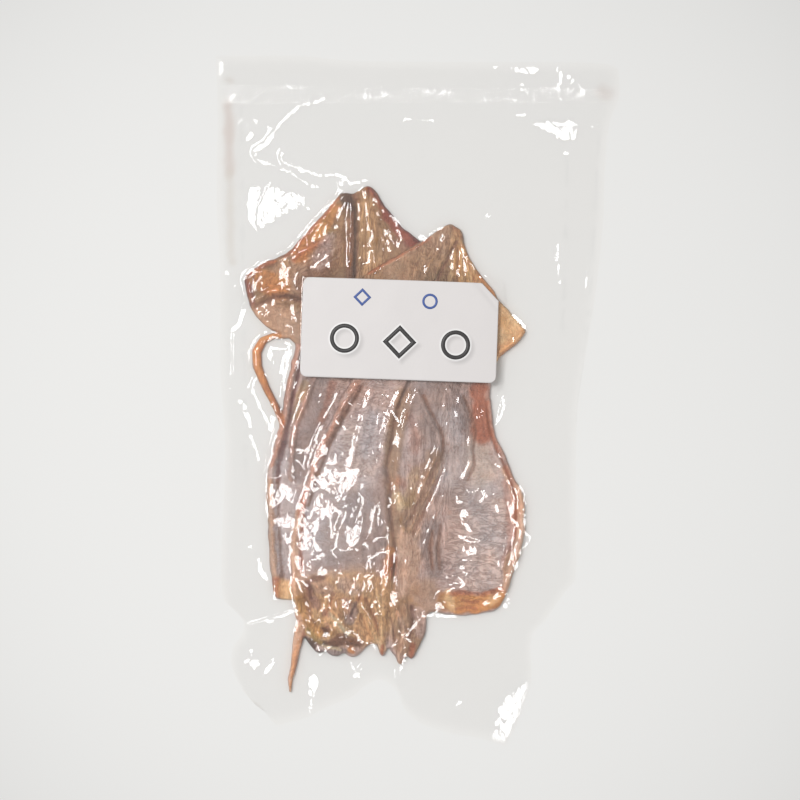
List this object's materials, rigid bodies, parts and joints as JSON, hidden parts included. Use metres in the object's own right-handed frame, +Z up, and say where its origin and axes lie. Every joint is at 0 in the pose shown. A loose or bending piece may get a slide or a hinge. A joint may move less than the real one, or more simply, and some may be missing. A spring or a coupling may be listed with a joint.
{
  "type": "vacuum-packed dried squid",
  "caption": "Flat clear vacuum bag of split, pressed dried squid lying one over the other, with a plain paper label on the film.",
  "frame": {"origin": "middle of the bag's footprint, on the surface that the bag lies on", "axes": "+X across the bag, +Y along the bag to its top seal, +Z up out of the shown side"},
  "size_m": [0.2101, 0.3562, 0.0088],
  "materials": {
    "film": "clear glossy vacuum film",
    "squid_flesh": "dried, wrinkled, satin",
    "label_paper": "smooth white sticker paper",
    "label_ink": "flat printed ink"
  },
  "bodies": {
    "root": {"bag": "film", "label": "label_paper"}
  },
  "joints": []
}
